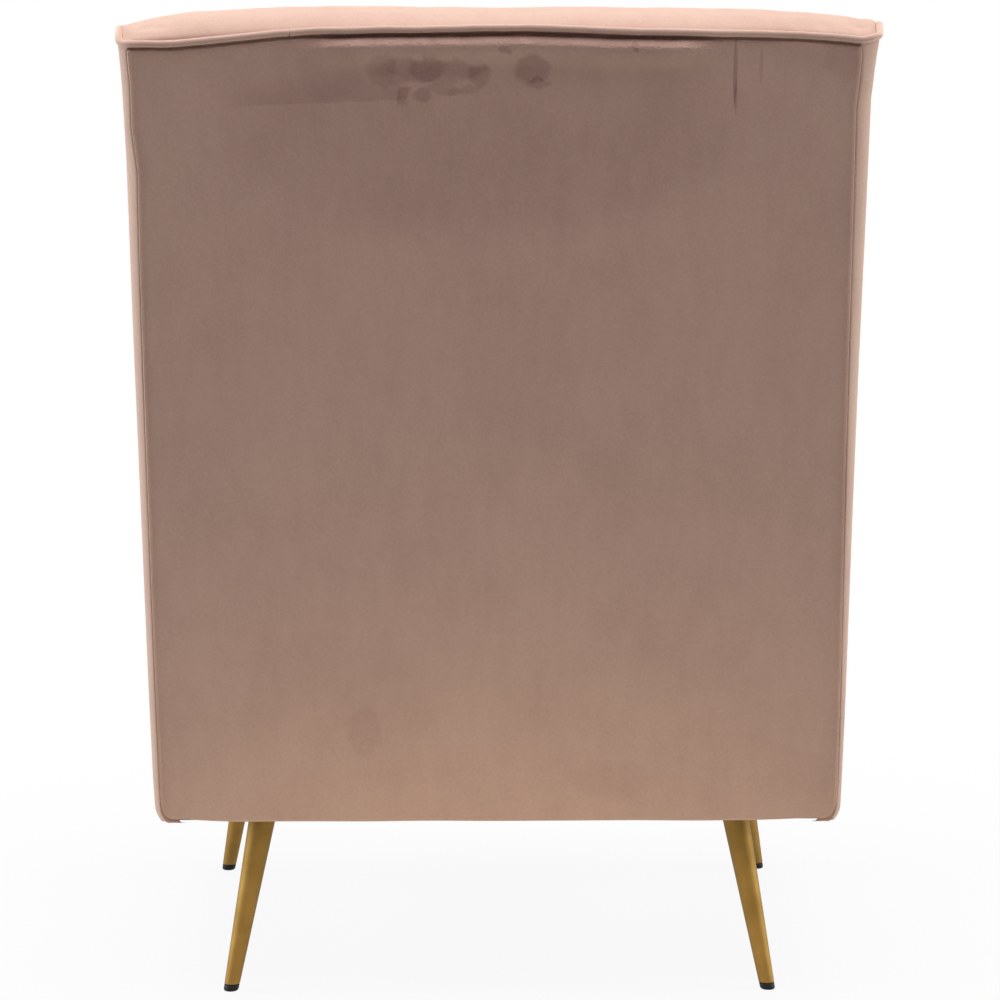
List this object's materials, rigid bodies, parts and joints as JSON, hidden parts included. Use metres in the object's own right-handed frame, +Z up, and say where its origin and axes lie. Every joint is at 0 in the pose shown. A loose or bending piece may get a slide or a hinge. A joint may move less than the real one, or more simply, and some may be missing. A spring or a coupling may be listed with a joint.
{
  "type": "upholstered lounge chair",
  "caption": "Upholstered lounge chair with a reclined channelled back, low sloping arms, a box seat cushion and splayed tapered metal legs.",
  "frame": {"origin": "on the floor, at the middle of the chair's width and depth", "axes": "+Z up, -Y the way the sitter faces, +X the sitter's left"},
  "size_m": [0.6932, 0.7416, 0.8802],
  "materials": {
    "velvet": "dusty rose short-pile velvet",
    "welt_velvet": "the same velvet, cut on the bias round a cord",
    "brushed_brass": "brushed brass plating on tapered steel tube",
    "black_plastic": "moulded black plastic",
    "black_cambric": "black non-woven cambric",
    "timber": "planed softwood",
    "plywood": "birch plywood, sawn edge",
    "spring_steel": "oil-tempered spring wire",
    "zinc_steel": "zinc-plated steel",
    "felt": "needled felt",
    "foam": "cut polyurethane foam",
    "webbing": "woven elastic webbing"
  },
  "bodies": {
    "root": {"outside_side_panel_left": "velvet", "outside_side_panel_right": "velvet", "outside_back_panel": "velvet", "inside_back_cushion": "velvet", "side_pad_left": "velvet", "side_pad_right": "velvet", "top_welt": "welt_velvet", "side_welt_left": "welt_velvet", "side_welt_right": "welt_velvet", "seat_cushion": "velvet", "seat_welt_upper": "welt_velvet", "seat_welt_lower": "welt_velvet", "front_border": "velvet", "back_post_left": "timber", "back_post_right": "timber", "arm_post_left": "timber", "arm_post_right": "timber", "side_seat_rail_left": "timber", "side_seat_rail_right": "timber", "arm_rail_left": "plywood", "arm_rail_right": "plywood", "top_rail": "timber", "lumbar_rail": "timber", "rear_seat_rail": "timber", "front_seat_rail": "timber", "back_web_1": "webbing", "back_web_2": "webbing", "back_web_3": "webbing", "leg_front_left": "brushed_brass", "leg_front_right": "brushed_brass", "glide_front_left": "black_plastic", "glide_front_right": "black_plastic", "leg_plate_front_left": "zinc_steel", "leg_plate_front_right": "zinc_steel", "leg_bolt_front_left": "zinc_steel", "leg_bolt_front_right": "zinc_steel", "leg_rear_left": "brushed_brass", "leg_rear_right": "brushed_brass", "glide_rear_left": "black_plastic", "glide_rear_right": "black_plastic", "leg_plate_rear_left": "zinc_steel", "leg_plate_rear_right": "zinc_steel", "leg_bolt_rear_left": "zinc_steel", "leg_bolt_rear_right": "zinc_steel", "corner_block_front_left": "timber", "corner_block_front_right": "timber", "corner_block_rear_left": "timber", "corner_block_rear_right": "timber", "dust_cover": "black_cambric", "spring_strip_front": "zinc_steel", "spring_strip_rear": "zinc_steel", "seat_spring_1": "spring_steel", "seat_spring_2": "spring_steel", "seat_spring_3": "spring_steel", "seat_spring_4": "spring_steel", "spring_pad": "felt", "seat_deck": "foam"}
  },
  "joints": []
}
